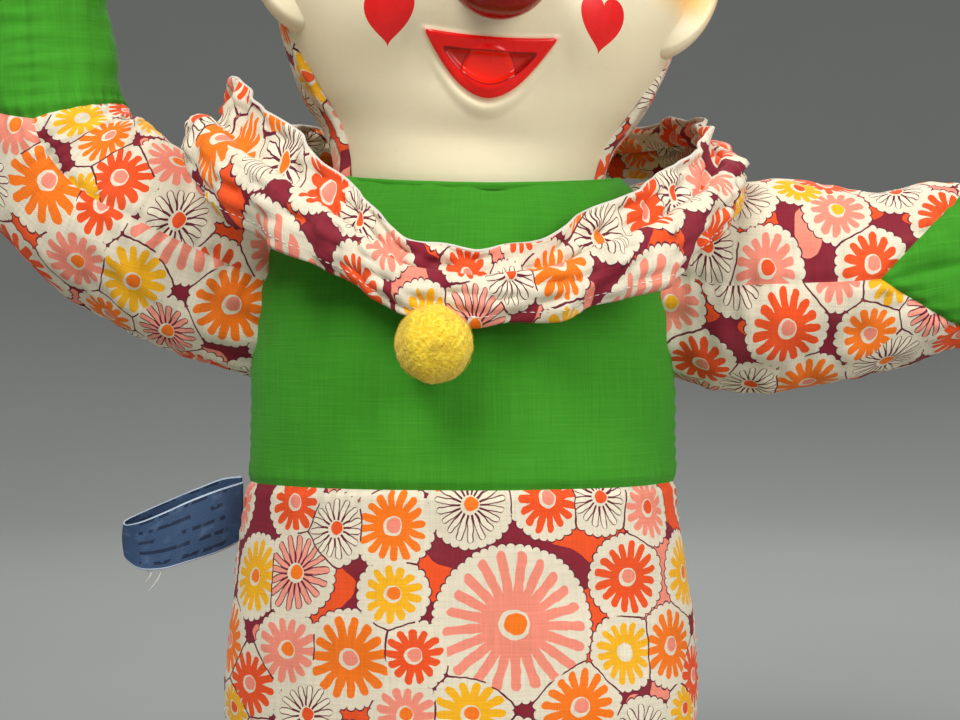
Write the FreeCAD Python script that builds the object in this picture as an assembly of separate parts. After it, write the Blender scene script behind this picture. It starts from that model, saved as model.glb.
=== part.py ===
import FreeCAD, Part

import math
import os

from FreeCAD import Vector

# A stuffed clown hand puppet with a vinyl face, worn over the hand from below and worked by one
# finger in its head. Millimetres. +Z is up, the face looks along -Y, and the puppet's own left arm
# is at +X. The origin is the centre of the hand opening, at the hem of the body.

# ---------------------------------------------------------------- driving dimensions

# Cloth and vinyl
CLOTH = 1.2            # wall of every cloth panel, with its seam allowance
VINYL = 2.5            # wall of the moulded face
MOVING_GAP = 0.4       # air between pieces that turn on each other

# Body: height of a ring, half width, half depth, sideways offset of its centre
BODY_RINGS = [
    (0, 76, 46, 0),
    (12, 80, 50, 0),
    (77, 81.5, 54, 0),
    (140, 74.6, 53, 0),
    (180, 73, 52, 0),
    (212, 71, 51.5, 0.5),
    (229, 66.5, 51, 1.5),
    (240, 58, 50, 2.3),
    (247, 50, 48, 2.5),
]
WAIST_Z = 140          # seam between the bodice and the lower body
NECKLINE_SIDE_Z = 246  # the neckline is highest over the shoulders
NECKLINE_FALL = 0.18   # and drops by this much for each millimetre towards front and back

# Hand space
HAND_R = 40            # round opening at the hem, and the sleeve above it
CUFF_HEIGHT = 25
SLEEVE_STRAIGHT_Z = 140
SLEEVE_TOP_Z = 200
SLEEVE_TOP_R = 15

# Neck ball, and the head that stands on it
NECK_PIVOT = Vector(2.5, 0, 250)
NECK_BALL_R = 46
HEAD_LEAN = 3.4        # degrees, towards the puppet's left shoulder
HEAD_TURN = 5.2        # degrees, the face towards the puppet's left
HEAD_RINGS = [         # height above the pivot, half width, half depth, offset towards the back
    (0, 46, 46, 0),
    (8, 50, 48, 0),
    (20, 58, 52, 0),
    (37, 65, 57, -1),
    (55, 68.5, 61, -2),
    (75, 70, 63, -2),
    (98, 67, 61, -1),
    (118, 56, 52, 0),
    (132, 37, 35, 0),
    (139, 20, 19, 0),
    (142, 5, 5, 0),
]
MASK_EDGE_Y = -20      # the vinyl face ends here and the hood begins
NECK_CAP_Z = -32       # below this the neck is closed by a sewn cap
EAR_X = 62             # the ears face forwards, to each side of the head
EAR_Z = 63
EAR_LOBE = [(-31, 16, 22), (-26, 18, 24), (-16, 15, 21)]  # distance forwards, half width, half height
EAR_BOWL = [(-32, 13, 18.5), (-25, 9, 13)]
NOSE_R = 17
NOSE_CENTRE = (0, -74, 55)
NOSE_STEM_R = 4
NOSE_STEM_INNER_Y = -52
WASHER_R = 9
WASHER_Y = (-58, -56)
TUBE_R = 14            # cardboard finger tube in the head
TUBE_WALL = 1.5
TUBE_BOTTOM_Z = -43
TUBE_TOP_Z = 50
TUBE_CAP = 2

# Arms: distance along the arm, half depth, half height
SHOULDER = Vector(72, 0, 211)
SHOULDER_HUB_R = 14    # everything within this radius of the swing axis turns in the body's recess
SHOULDER_RECESS_R = 15
SHOULDER_RECESS_HALF = 27
UPPER_ARM_LENGTH = 81  # shoulder pivot to elbow pivot
UPPER_ARM_RINGS = [
    (-6, 9, 15),
    (0, 11.5, 21),
    (8, 11.5, 24),
    (18, 17, 31),
    (28, 23, 36),
    (44, 24.5, 37),
    (59, 24, 34.5),
]
ELBOW_R = 26
ELBOW_HALF_DEPTH = 22
ROUND_END_STEPS = (75, 60, 45, 30, 15)  # degrees from the equator of a rounded end, for its rings
FOREARM_RINGS = [
    (0, 22, 26),
    (21, 21.5, 27.5),
    (40, 20.5, 25),
    (58, 20, 25),
    (70, 16, 20),
    (76, 9.5, 12),
    (78.5, 4, 5),
]
MITT_SEAM_AT = 21      # past the elbow, at the top and bottom of the arm
MITT_SEAM_SLOPE = 1.18 # the seam runs back to a point at the front and at the back
LEFT_RAISE = (2.0, 4.0)     # degrees above level: upper arm, forearm
RIGHT_RAISE = (26.0, 86.0)

# Ruffle round the neck: bearing in degrees (0 is +X, 90 is the back), radius, height of its middle
RUFFLE_POINTS = [
    (0, 83, 262),
    (35, 80, 263),
    (62, 74, 263),
    (90, 71, 262),
    (118, 74, 264),
    (145, 80, 267),
    (180, 84, 271),
    (197, 83, 269),
    (212, 79, 257),
    (227, 73.5, 236),
    (245, 64, 219),
    (270, 58, 211),
    (295, 64, 217),
    (313, 72.5, 229),
    (330, 79, 250),
    (345, 82, 261),
]
RUFFLE_HALF_HEIGHT = 11.4
RUFFLE_HALF_THICK = 3
RUFFLE_CORD_R = 0.9
RUFFLE_CORD_UP = 5     # the gathering cord runs this far above the middle of the band
NECK_CORD_R = 0.9
NECK_CORD_RING_R = 47.3
NECK_CORD_Z = 231

# Pom-pom and care label
POMPOM_R = 12.6
POMPOM_CENTRE = Vector(-8.2, -66.5, 187)
POMPOM_PIVOT = Vector(-8.2, -60, 199)
STITCH_R = 0.8
STITCH_TOP_Z = 199.9
LABEL_ROOT = Vector(-78.2, 0, 118)
LABEL_REACH = 42
LABEL_HEIGHT = 22
LABEL_THICK = 0.9
LABEL_LOOP_R = 6

FAR = 400              # longer than the puppet, for cutting blocks
X_AXIS = Vector(1, 0, 0)
Y_AXIS = Vector(0, 1, 0)
Z_AXIS = Vector(0, 0, 1)


# ---------------------------------------------------------------- shapes that repeat

def oval(centre, across, up, half_across, half_up, count=16):
    """A closed smooth curve: centre + half_across * cos(t) * across + half_up * sin(t) * up."""
    turns = [2 * math.pi * i / count for i in range(count)]
    points = [centre + across * (half_across * math.cos(t)) + up * (half_up * math.sin(t)) for t in turns]
    curve = Part.BSplineCurve()
    curve.interpolate(points, PeriodicFlag=True)
    return Part.Wire(curve.toShape())


def upright_loft(rings, inset=0.0):
    """A solid through level ovals, each drawn in by inset. A ring is height, halves and centre."""
    wires = []
    for height, half_x, half_y, centre_x, centre_y in rings:
        centre = Vector(centre_x, centre_y, height)
        wires.append(oval(centre, X_AXIS, Y_AXIS, half_x - inset, half_y - inset))
    return Part.makeLoft(wires, True, False)


def arm_loft(rings, inset=0.0):
    """A solid along +X through upright ovals, drawn in by inset all round and at its far end."""
    last = len(rings) - 1
    wires = []
    for i, (along, half_depth, half_height) in enumerate(rings):
        centre = Vector(along - inset if i == last else along, 0, 0)
        wires.append(oval(centre, Y_AXIS, Z_AXIS, half_depth - inset, half_height - inset))
    return Part.makeLoft(wires, True, False)


def block(x_range, y_range, z_range):
    """A box from its three pairs of limits."""
    size = [pair[1] - pair[0] for pair in (x_range, y_range, z_range)]
    return Part.makeBox(*size, Vector(x_range[0], y_range[0], z_range[0]))


def cylinder(radius, z_range, x=0.0, y=0.0):
    """An upright cylinder between two heights."""
    return Part.makeCylinder(radius, z_range[1] - z_range[0], Vector(x, y, z_range[0]))


def prism(outline, axis, length):
    """A straight-sided solid from a closed outline of points."""
    face = Part.Face(Part.makePolygon(outline + outline[:1]))
    return face.extrude(axis * length)


def front_and_back(shape):
    """The halves of a shape before and behind the side seams."""
    front = block((-FAR, FAR), (-FAR, 0), (-FAR, FAR))
    back = block((-FAR, FAR), (0, FAR), (-FAR, FAR))
    return shape.common(front), shape.common(back)


# ---------------------------------------------------------------- body

def hand_space(inset):
    """The space inside the sleeve, from below the hem up to the neck, widened by inset."""
    straight = cylinder(HAND_R + inset, (-1, SLEEVE_STRAIGHT_Z))
    rise = SLEEVE_TOP_Z - SLEEVE_STRAIGHT_Z
    cone = Part.makeCone(HAND_R + inset, SLEEVE_TOP_R + inset, rise, Vector(0, 0, SLEEVE_STRAIGHT_Z))
    return straight.fuse(cone)


def body_envelope(inset):
    """The stuffed body under its neckline, with the neck seat and the shoulder recesses cut."""
    rings = [(z, half_x, half_y, centre_x, 0) for z, half_x, half_y, centre_x in BODY_RINGS]
    solid = upright_loft(rings, inset)
    drop = NECKLINE_SIDE_Z - NECKLINE_FALL * FAR
    outline = [
        Vector(-FAR, -FAR, -FAR),
        Vector(-FAR, -FAR, drop),
        Vector(-FAR, 0, NECKLINE_SIDE_Z),
        Vector(-FAR, FAR, drop),
        Vector(-FAR, FAR, -FAR),
    ]
    solid = solid.common(prism(outline, X_AXIS, 2 * FAR))
    solid = solid.cut(Part.makeSphere(NECK_BALL_R + MOVING_GAP, NECK_PIVOT))
    for side in (-1, 1):
        reach = (SHOULDER.z - SHOULDER_RECESS_HALF, SHOULDER.z + SHOULDER_RECESS_HALF)
        solid = solid.cut(cylinder(SHOULDER_RECESS_R, reach, x=side * SHOULDER.x))
    return solid


def make_body():
    """Cloth panels, stuffing, and the sleeve and cuff for the hand."""
    outer = body_envelope(0.0)
    inner = body_envelope(CLOTH)
    cloth = outer.cut(inner)
    above_waist = block((-FAR, FAR), (-FAR, FAR), (WAIST_Z, FAR))
    below_waist = block((-FAR, FAR), (-FAR, FAR), (CLOTH, WAIST_Z))
    nodes = {}
    nodes["bodice_front"], nodes["bodice_back"] = front_and_back(cloth.common(above_waist))
    nodes["skirt_front"], nodes["skirt_back"] = front_and_back(cloth.common(below_waist))

    hem_slice = block((-FAR, FAR), (-FAR, FAR), (0, CLOTH))
    nodes["base_panel"] = outer.common(hem_slice).cut(cylinder(HAND_R + CLOTH, (-1, 10)))

    hollow = hand_space(0.0)
    lined = hand_space(CLOTH).cut(hollow)
    nodes["hand_cuff"] = lined.common(block((-FAR, FAR), (-FAR, FAR), (0, CUFF_HEIGHT)))
    nodes["hand_sleeve"] = lined.common(block((-FAR, FAR), (-FAR, FAR), (CUFF_HEIGHT, SLEEVE_TOP_Z)))

    taken = hand_space(CLOTH)
    neck_hole = cylinder(SLEEVE_TOP_R + CLOTH, (SLEEVE_TOP_Z, NECK_PIVOT.z))
    neck_cord = Part.makeTorus(NECK_CORD_RING_R, NECK_CORD_R, Vector(NECK_PIVOT.x, 0, NECK_CORD_Z))
    nodes["neck_cord"] = neck_cord
    nodes["chest_stuffing"] = inner.common(above_waist).cut(taken).cut(neck_hole).cut(neck_cord)
    nodes["skirt_stuffing"] = inner.common(below_waist).cut(taken)
    return nodes


# ---------------------------------------------------------------- ruffle, pom-pom and label

def ruffle_ring(half_thick, half_height, lift, sides=8):
    """A closed band round the neck: a straight run between the outlines at each two neighbours."""
    wires = []
    for bearing, radius, height in RUFFLE_POINTS + RUFFLE_POINTS[:1]:
        angle = math.radians(bearing)
        outward = Vector(math.cos(angle), math.sin(angle), 0)
        middle = outward * radius + Z_AXIS * (height + lift)
        turns = [2 * math.pi * (i + 0.5) / sides for i in range(sides)]
        corners = [middle + outward * (half_thick * math.cos(t)) + Z_AXIS * (half_height * math.sin(t))
                   for t in turns]
        wires.append(Part.makePolygon(corners + corners[:1]))
    runs = [Part.makeLoft([start, end], True, True) for start, end in zip(wires, wires[1:])]
    return runs[0].multiFuse(runs[1:])


def make_trim():
    """The gathered ruffle on its cord, the felt pom-pom and the folded care label."""
    nodes = {}
    cord = ruffle_ring(RUFFLE_CORD_R, RUFFLE_CORD_R, RUFFLE_CORD_UP)
    nodes["ruffle_cord"] = cord
    nodes["ruffle"] = ruffle_ring(RUFFLE_HALF_THICK, RUFFLE_HALF_HEIGHT, 0.0).cut(cord)

    ball = Part.makeSphere(POMPOM_R, POMPOM_CENTRE)
    stitch_foot = Vector(POMPOM_PIVOT.x, POMPOM_PIVOT.y, POMPOM_CENTRE.z)
    stitch = Part.makeCylinder(STITCH_R, STITCH_TOP_Z - stitch_foot.z, stitch_foot)
    nodes["pompom"] = ball
    nodes["pompom_stitch"] = stitch.cut(ball)

    # the label is one ribbon folded back on itself: two straight runs and a round turn
    run = LABEL_REACH - LABEL_LOOP_R
    tip = LABEL_ROOT - X_AXIS * run
    outlines = []
    for radius in (LABEL_LOOP_R, LABEL_LOOP_R - LABEL_THICK):
        # the inner corner lies deeper than the outer one, by the wall over the sine of half its angle
        depth = (LABEL_LOOP_R - radius) * math.hypot(run, LABEL_LOOP_R) / LABEL_LOOP_R
        root = LABEL_ROOT - X_AXIS * depth
        upper = tip + Vector(0, radius, 0)
        lower = tip + Vector(0, -radius, 0)
        turn = Part.Arc(upper, tip + Vector(-radius, 0, 0), lower).toShape()
        runs = [Part.LineSegment(lower, root).toShape(), Part.LineSegment(root, upper).toShape()]
        outlines.append(Part.Face(Part.Wire([turn] + runs)))
    ribbon = outlines[0].cut(outlines[1]).extrude(Z_AXIS * LABEL_HEIGHT)
    nodes["care_label"] = ribbon
    return nodes


# ---------------------------------------------------------------- head

def head_envelope(inset):
    """The head and the neck ball that it grows out of, in the head's own upright frame."""
    radius = NECK_BALL_R - inset
    rings = []
    for degrees in ROUND_END_STEPS:
        half = radius * math.cos(math.radians(degrees)) + inset
        rings.append((-radius * math.sin(math.radians(degrees)), half, half, 0, 0))
    rings += [(z, half_x, half_y, 0, centre_y) for z, half_x, half_y, centre_y in HEAD_RINGS]
    if inset:
        rings[-1] = (rings[-1][0] - inset,) + rings[-1][1:]
        rings[-2] = (rings[-2][0] - inset / 2,) + rings[-2][1:]
    return upright_loft(rings, inset)


def make_ears(inner):
    """Both ears: an upright oval lobe with a bowl in its front, outside the face's inner wall."""
    lobes = []
    for side in (-1, 1):
        solids = []
        for rings in (EAR_LOBE, EAR_BOWL):
            wires = [oval(Vector(side * EAR_X, y, EAR_Z), X_AXIS, Z_AXIS, half_width, half_height)
                     for y, half_width, half_height in rings]
            solids.append(Part.makeLoft(wires, True, True))
        lobes.append(solids[0].cut(solids[1]).cut(inner))
    return lobes


def make_head():
    """Vinyl face with its ears and nose, printed hood, stuffing, and the cap of the neck."""
    outer = head_envelope(0.0)
    vinyl_inner = head_envelope(VINYL)
    cloth_inner = head_envelope(CLOTH)
    before = block((-FAR, FAR), (-FAR, MASK_EDGE_Y), (NECK_CAP_Z, FAR))
    behind = block((-FAR, FAR), (MASK_EDGE_Y, FAR), (NECK_CAP_Z, FAR))
    below = block((-FAR, FAR), (-FAR, FAR), (-FAR, NECK_CAP_Z))
    right_half = block((-FAR, 0), (-FAR, FAR), (-FAR, FAR))
    left_half = block((0, FAR), (-FAR, FAR), (-FAR, FAR))

    ears = make_ears(vinyl_inner)
    mask = outer.cut(vinyl_inner).common(before)
    for ear in ears:
        mask = mask.fuse(ear)
    nose_x, nose_y, nose_z = NOSE_CENTRE
    stem_start = Vector(nose_x, nose_y, nose_z)
    stem = Part.makeCylinder(NOSE_STEM_R, NOSE_STEM_INNER_Y - nose_y, stem_start, Y_AXIS)
    ball = Part.makeSphere(NOSE_R, stem_start).cut(outer)
    nose = ball.fuse(stem)
    washer_disc = Part.makeCylinder(WASHER_R, WASHER_Y[1] - WASHER_Y[0],
                                    Vector(nose_x, WASHER_Y[0], nose_z), Y_AXIS)
    washer = washer_disc.cut(stem)

    bore = cylinder(TUBE_R + MOVING_GAP, (-2 * NECK_BALL_R, TUBE_TOP_Z + TUBE_CAP + MOVING_GAP))
    bore.rotate(Vector(0, 0, 0), Z_AXIS, 90)  # the seam line of its wall lies away from the head's
    hood = outer.cut(cloth_inner).common(behind)
    for ear in ears:
        hood = hood.cut(ear)
    cap = outer.cut(cloth_inner).common(below)
    filling = outer.cut(mask).cut(hood).cut(cap).cut(bore).cut(nose).cut(washer_disc)
    nodes = {
        "face_mask": mask.cut(nose),
        "nose": nose,
        "nose_washer": washer,
        "hood_right": hood.common(right_half),
        "hood_left": hood.common(left_half),
        "neck_cap": cap.cut(bore),
        "head_stuffing": filling,
    }
    tube = cylinder(TUBE_R, (TUBE_BOTTOM_Z, TUBE_TOP_Z)).cut(
        cylinder(TUBE_R - TUBE_WALL, (TUBE_BOTTOM_Z - 1, TUBE_TOP_Z + 1)))
    nodes["finger_tube"] = tube
    nodes["tube_cap"] = cylinder(TUBE_R, (TUBE_TOP_Z, TUBE_TOP_Z + TUBE_CAP))

    origin = Vector(0, 0, 0)
    for shape in nodes.values():
        shape.rotate(origin, Z_AXIS, HEAD_TURN)
        shape.rotate(origin, Y_AXIS, HEAD_LEAN)
        shape.translate(NECK_PIVOT)
    return nodes


# ---------------------------------------------------------------- arms

def upper_arm_envelope(inset):
    """Shoulder hub to elbow along +X, hollowed at its end for the round of the elbow."""
    start, half_depth, half_height = UPPER_ARM_RINGS[0]
    solid = arm_loft([(start + inset, half_depth, half_height)] + UPPER_ARM_RINGS[1:], inset)
    elbow = Part.makeCylinder(ELBOW_R + MOVING_GAP + inset, FAR,
                              Vector(UPPER_ARM_LENGTH, -FAR / 2, 0), Y_AXIS)
    return solid.cut(elbow)


def forearm_envelope(inset):
    """Round of the elbow and the forearm out to the tip of the mitt, along +X."""
    rings = []
    for degrees in ROUND_END_STEPS:
        shrink = math.cos(math.radians(degrees))
        along = -(ELBOW_R - inset) * math.sin(math.radians(degrees))
        half_depth = (ELBOW_HALF_DEPTH - inset) * shrink + inset
        half_height = (ELBOW_R - inset) * shrink + inset
        rings.append((along, half_depth, half_height))
    return arm_loft(rings + FOREARM_RINGS, inset)


def make_arm(name, side, raise_angles):
    """One arm: sleeve and stuffing above the elbow, and sleeve, mitt and stuffing below it."""
    upper_raise, fore_raise = raise_angles
    upper = upper_arm_envelope(0.0)
    upper_inner = upper_arm_envelope(CLOTH)
    fore = forearm_envelope(0.0)
    fore_inner = forearm_envelope(CLOTH)
    back_run = MITT_SEAM_AT - MITT_SEAM_SLOPE * FAR
    outline = [
        Vector(MITT_SEAM_AT, 0, -FAR),
        Vector(back_run, FAR, -FAR),
        Vector(FAR, FAR, -FAR),
        Vector(FAR, -FAR, -FAR),
        Vector(back_run, -FAR, -FAR),
    ]
    mitt_side = prism(outline, Z_AXIS, 2 * FAR)
    fore_cloth = fore.cut(fore_inner)
    upper_nodes = {
        name + "_upper_sleeve": upper.cut(upper_inner),
        name + "_upper_stuffing": upper_inner,
    }
    fore_nodes = {
        name + "_lower_sleeve": fore_cloth.cut(mitt_side),
        name + "_mitt": fore_cloth.common(mitt_side),
        name + "_forearm_stuffing": fore_inner,
    }
    angle = math.radians(upper_raise)
    reach = Vector(math.cos(angle), 0, math.sin(angle)) * UPPER_ARM_LENGTH
    origin = Vector(0, 0, 0)
    for shape in upper_nodes.values():
        shape.rotate(origin, Y_AXIS, -upper_raise)
    for shape in fore_nodes.values():
        shape.rotate(origin, Y_AXIS, -fore_raise)
        shape.translate(reach)
    nodes = {**upper_nodes, **fore_nodes}
    for shape in nodes.values():
        if side < 0:
            shape.rotate(origin, Z_AXIS, 180)
        shape.translate(Vector(side * SHOULDER.x, SHOULDER.y, SHOULDER.z))
    return nodes


# ---------------------------------------------------------------- the whole puppet

def main():
    """Write one STEP file for each piece."""
    nodes = {}
    nodes.update(make_body())
    nodes.update(make_trim())
    nodes.update(make_head())
    nodes.update(make_arm("left", 1, LEFT_RAISE))
    nodes.update(make_arm("right", -1, RIGHT_RAISE))
    os.makedirs("parts", exist_ok=True)
    for name, shape in nodes.items():
        solid = shape.Solids[0] if len(shape.Solids) == 1 else shape
        solid.exportStep(f"parts/{name}.step")
        box = solid.BoundBox
        print(f"{name:22s} solids {len(shape.Solids)} valid {shape.isValid()} "
              f"volume {shape.Volume / 1000:8.2f} cm3 "
              f"z {box.ZMin:7.1f} to {box.ZMax:7.1f}")


main()
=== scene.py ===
# %% [markdown]
# A hand puppet: a stuffed cloth clown with a moulded face, a printed suit and a gathered collar.
# The CAD model is loaded first as a fixed frame. Every surface made below stands where that frame says,
# in metres, and all of the puppet but its sleeves and mitts rides on one of its bodies. Sizes in this
# lesson are written in millimetres, as a sewing pattern is, and each mesh is turned into metres when it is
# made.

# %% The frame
import math

import bmesh
import bpy
import numpy as np
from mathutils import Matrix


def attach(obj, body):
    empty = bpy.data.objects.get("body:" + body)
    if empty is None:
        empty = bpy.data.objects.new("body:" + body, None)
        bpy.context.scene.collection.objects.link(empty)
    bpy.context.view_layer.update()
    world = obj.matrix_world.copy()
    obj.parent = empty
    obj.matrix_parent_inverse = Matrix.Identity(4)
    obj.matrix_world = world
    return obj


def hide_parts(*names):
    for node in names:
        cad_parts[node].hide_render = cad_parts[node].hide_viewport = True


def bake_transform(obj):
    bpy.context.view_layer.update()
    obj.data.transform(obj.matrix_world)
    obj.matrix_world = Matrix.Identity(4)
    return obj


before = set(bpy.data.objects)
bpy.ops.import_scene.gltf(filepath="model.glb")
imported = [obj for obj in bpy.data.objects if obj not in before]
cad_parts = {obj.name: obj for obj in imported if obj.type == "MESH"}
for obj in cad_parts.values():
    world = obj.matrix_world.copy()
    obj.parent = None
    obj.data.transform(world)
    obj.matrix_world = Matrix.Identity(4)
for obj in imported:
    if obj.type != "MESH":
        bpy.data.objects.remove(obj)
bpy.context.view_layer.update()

# %% [markdown]
# The puppet is looked at from straight in front, a little above its middle, from arm's length. It
# stands on one big pale sheet whose far rim rises slowly, as a studio's paper roll does, so there is
# no horizon from any side. The sheet is a curve turned round the upright axis: flat, then rising.

# %% Camera and paper
camera_data = bpy.data.cameras.new("view")
SENSOR, LENS, DISTANCE = 36.0, 69.6, 650
camera_data.sensor_width = SENSOR
camera_data.lens = LENS
camera_data.clip_start = 0.01
camera = bpy.data.objects.new("view", camera_data)
camera.location = (0.0063, -DISTANCE / 1000, 0.182)
camera.rotation_euler = (math.radians(90), 0, 0)
bpy.context.collection.objects.link(camera)
bpy.context.scene.camera = camera
bpy.context.scene.view_settings.view_transform = "Standard"


def turned(radius, height, turns=96):
    """Points of a profile turned round Z: each (radius, height) is carried round a full circle."""
    angle = np.linspace(0, 2 * np.pi, turns + 1)
    return np.stack([radius[:, None] * np.cos(angle), radius[:, None] * np.sin(angle),
                     height[:, None] + 0 * angle], -1)


print("camera sees a width of", round(DISTANCE * SENSOR / LENS), "mm at the puppet's middle plane")

# %% [markdown]
# Every cloth surface here is a sheet of points on a grid: rows one way, columns the other. One helper
# turns such grids into a mesh. A piece can have several patches, each with its own flat pattern
# coordinates, so that the print breaks at a seam as it does on sewn cloth. Afterwards the points that
# lie on each other are merged, which closes the seams and the poles.

# %% From grids to meshes
def patch(points, flat):
    """A grid of points (rows, columns, 3) with its flat cloth coordinates (rows, columns, 2), in mm."""
    return points, np.broadcast_to(flat, points.shape[:2] + (2,))


def sew(name, patches, body=None, material=None, merge=0.002):
    """One mesh from several patches: quads between neighbouring grid points, doubles merged."""
    corners, faces, flats, start = [], [], [], 0
    for points, flat in patches:
        rows, columns = points.shape[:2]
        index = np.arange(rows * columns).reshape(rows, columns)
        quads = np.stack([index[:-1, :-1], index[:-1, 1:], index[1:, 1:], index[1:, :-1]], -1).reshape(-1, 4)
        corners.append(points.reshape(-1, 3) / 1000)
        flats.append(flat.reshape(-1, 2)[quads.ravel()] / 1000)
        faces.append(quads + start)
        start += rows * columns
    mesh = bpy.data.meshes.new(name)
    mesh.from_pydata(np.concatenate(corners).tolist(), [], np.concatenate(faces).tolist())
    mesh.uv_layers.new(name="cloth").data.foreach_set("uv", np.concatenate(flats).ravel())
    work = bmesh.new()
    work.from_mesh(mesh)
    bmesh.ops.remove_doubles(work, verts=work.verts, dist=merge / 1000)
    bmesh.ops.recalc_face_normals(work, faces=work.faces)
    work.to_mesh(mesh)
    work.free()
    mesh.shade_smooth()
    if material:
        mesh.materials.append(material)
    piece = bpy.data.objects.new(name, mesh)
    bpy.context.collection.objects.link(piece)
    if body:
        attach(piece, body)
    print(f"{name}: {len(mesh.vertices)} points, {len(mesh.polygons)} faces")
    return piece


# %% Smooth curves through a few measures
def through(table, at):
    """Smooth curve through a table's rows: a cubic between two rows, its slopes from their neighbours."""
    table = np.asarray(table, float)
    at = np.clip(np.asarray(at, float), table[0, 0], table[-1, 0])
    x, y = table[:, 0], table[:, 1:]
    slope = np.gradient(y, x, axis=0)
    i = np.clip(np.searchsorted(x, at, side="right") - 1, 0, len(x) - 2)
    gap = x[i + 1] - x[i]
    u = ((at - x[i]) / gap)[..., None]
    gap = gap[..., None]
    return ((1 + 2 * u) * (1 - u) ** 2 * y[i] + u * (1 - u) ** 2 * gap * slope[i]
            + u ** 2 * (3 - 2 * u) * y[i + 1] + u ** 2 * (u - 1) * gap * slope[i + 1])


def eased(value, low, high):
    """0 below low, 1 above high, and a smooth step between them."""
    t = np.clip((value - low) / (high - low), 0, 1)
    return t * t * (3 - 2 * t)


# %% Folds and seams as formulas
def folds(u, v, pitch, seed, waves=6):
    """Soft uneven waves from -1 to 1: the mean of sines whose directions and starts come from a seed."""
    random = np.random.default_rng(seed)
    total = 0
    for turn, start, stretch in zip(random.uniform(0, np.pi, waves), random.uniform(0, 6.28, waves),
                                    random.uniform(0.7, 1.5, waves)):
        total = total + np.sin((u * np.cos(turn) + v * np.sin(turn)) * 6.28 / (pitch * stretch) + start)
    return total / waves ** 0.5


def seam(distance, along, depth=1.3, pucker=0.35):
    """A sewn seam pulls the cloth in: a narrow valley, with short puckers that die away beside it."""
    valley = -depth * np.exp(-(distance / 1.5) ** 2)
    beats = np.sin(along * 6.28 / 5.3 + 1.4 * np.sin(along / 6.1)) * np.exp(-(distance / 6.5) ** 2)
    return valley + pucker * beats


# %% The paper under and behind the puppet
FLAT_TO = 1400
reach = np.concatenate([np.linspace(0, FLAT_TO, 8), np.linspace(1500, 3400, 40)])
rise = np.maximum(reach - FLAT_TO, 0) ** 2 / 2400
paper = sew("paper", [patch(turned(reach, rise - 0.5), np.zeros(2))])
print("paper reaches", reach[-1] / 1000, "m and rises", round(float(rise[-1]) / 1000, 2), "m")

# %% [markdown]
# Shader maths reads best as maths. Output wraps the output of one node, and adding, multiplying or
# comparing two of them adds the Math node that does it. Finish holds one material and makes any other
# node from its type, its settings and its inputs. Colours and vectors go through Mix and Vector Math.

# %% Shader maths as Python
class Output:
    """One output of a node. Arithmetic on it adds Math nodes to its finish."""

    def __init__(self, finish, socket):
        self.finish, self.socket = finish, socket

    def math(self, operation, *others):
        return self.finish.node("Math", {"operation": operation}, self, *others)

    def __add__(self, other):
        return self.math("ADD", other)

    def __mul__(self, other):
        return self.math("MULTIPLY", other)

    __radd__, __rmul__ = __add__, __mul__

    def __sub__(self, other):
        return self.math("SUBTRACT", other)

    def __rsub__(self, other):
        return self.finish.node("Math", {"operation": "SUBTRACT"}, other, self)

    def __truediv__(self, other):
        return self.math("DIVIDE", other)

    def __rtruediv__(self, other):
        return self.finish.node("Math", {"operation": "DIVIDE"}, other, self)

    def __lt__(self, other):
        return self.math("LESS_THAN", other)

    def __gt__(self, other):
        return self.math("GREATER_THAN", other)

    def __abs__(self):
        return self.math("ABSOLUTE")

    def lowest(self, other):
        return self.math("MINIMUM", other)

    def highest(self, other):
        return self.math("MAXIMUM", other)

    def root(self):
        return self.math("SQRT")

    def fraction(self):
        return self.math("FRACT")

    def split(self):
        """The three parts of a vector."""
        parts = self.finish.node("SeparateXYZ", None, self).socket.node
        return [Output(self.finish, socket) for socket in parts.outputs]

    def soft(self, low, high):
        """0 below low, 1 above high, smooth between them."""
        return self.finish.node("MapRange", {"interpolation_type": "SMOOTHSTEP"}, self, low, high)


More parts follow.
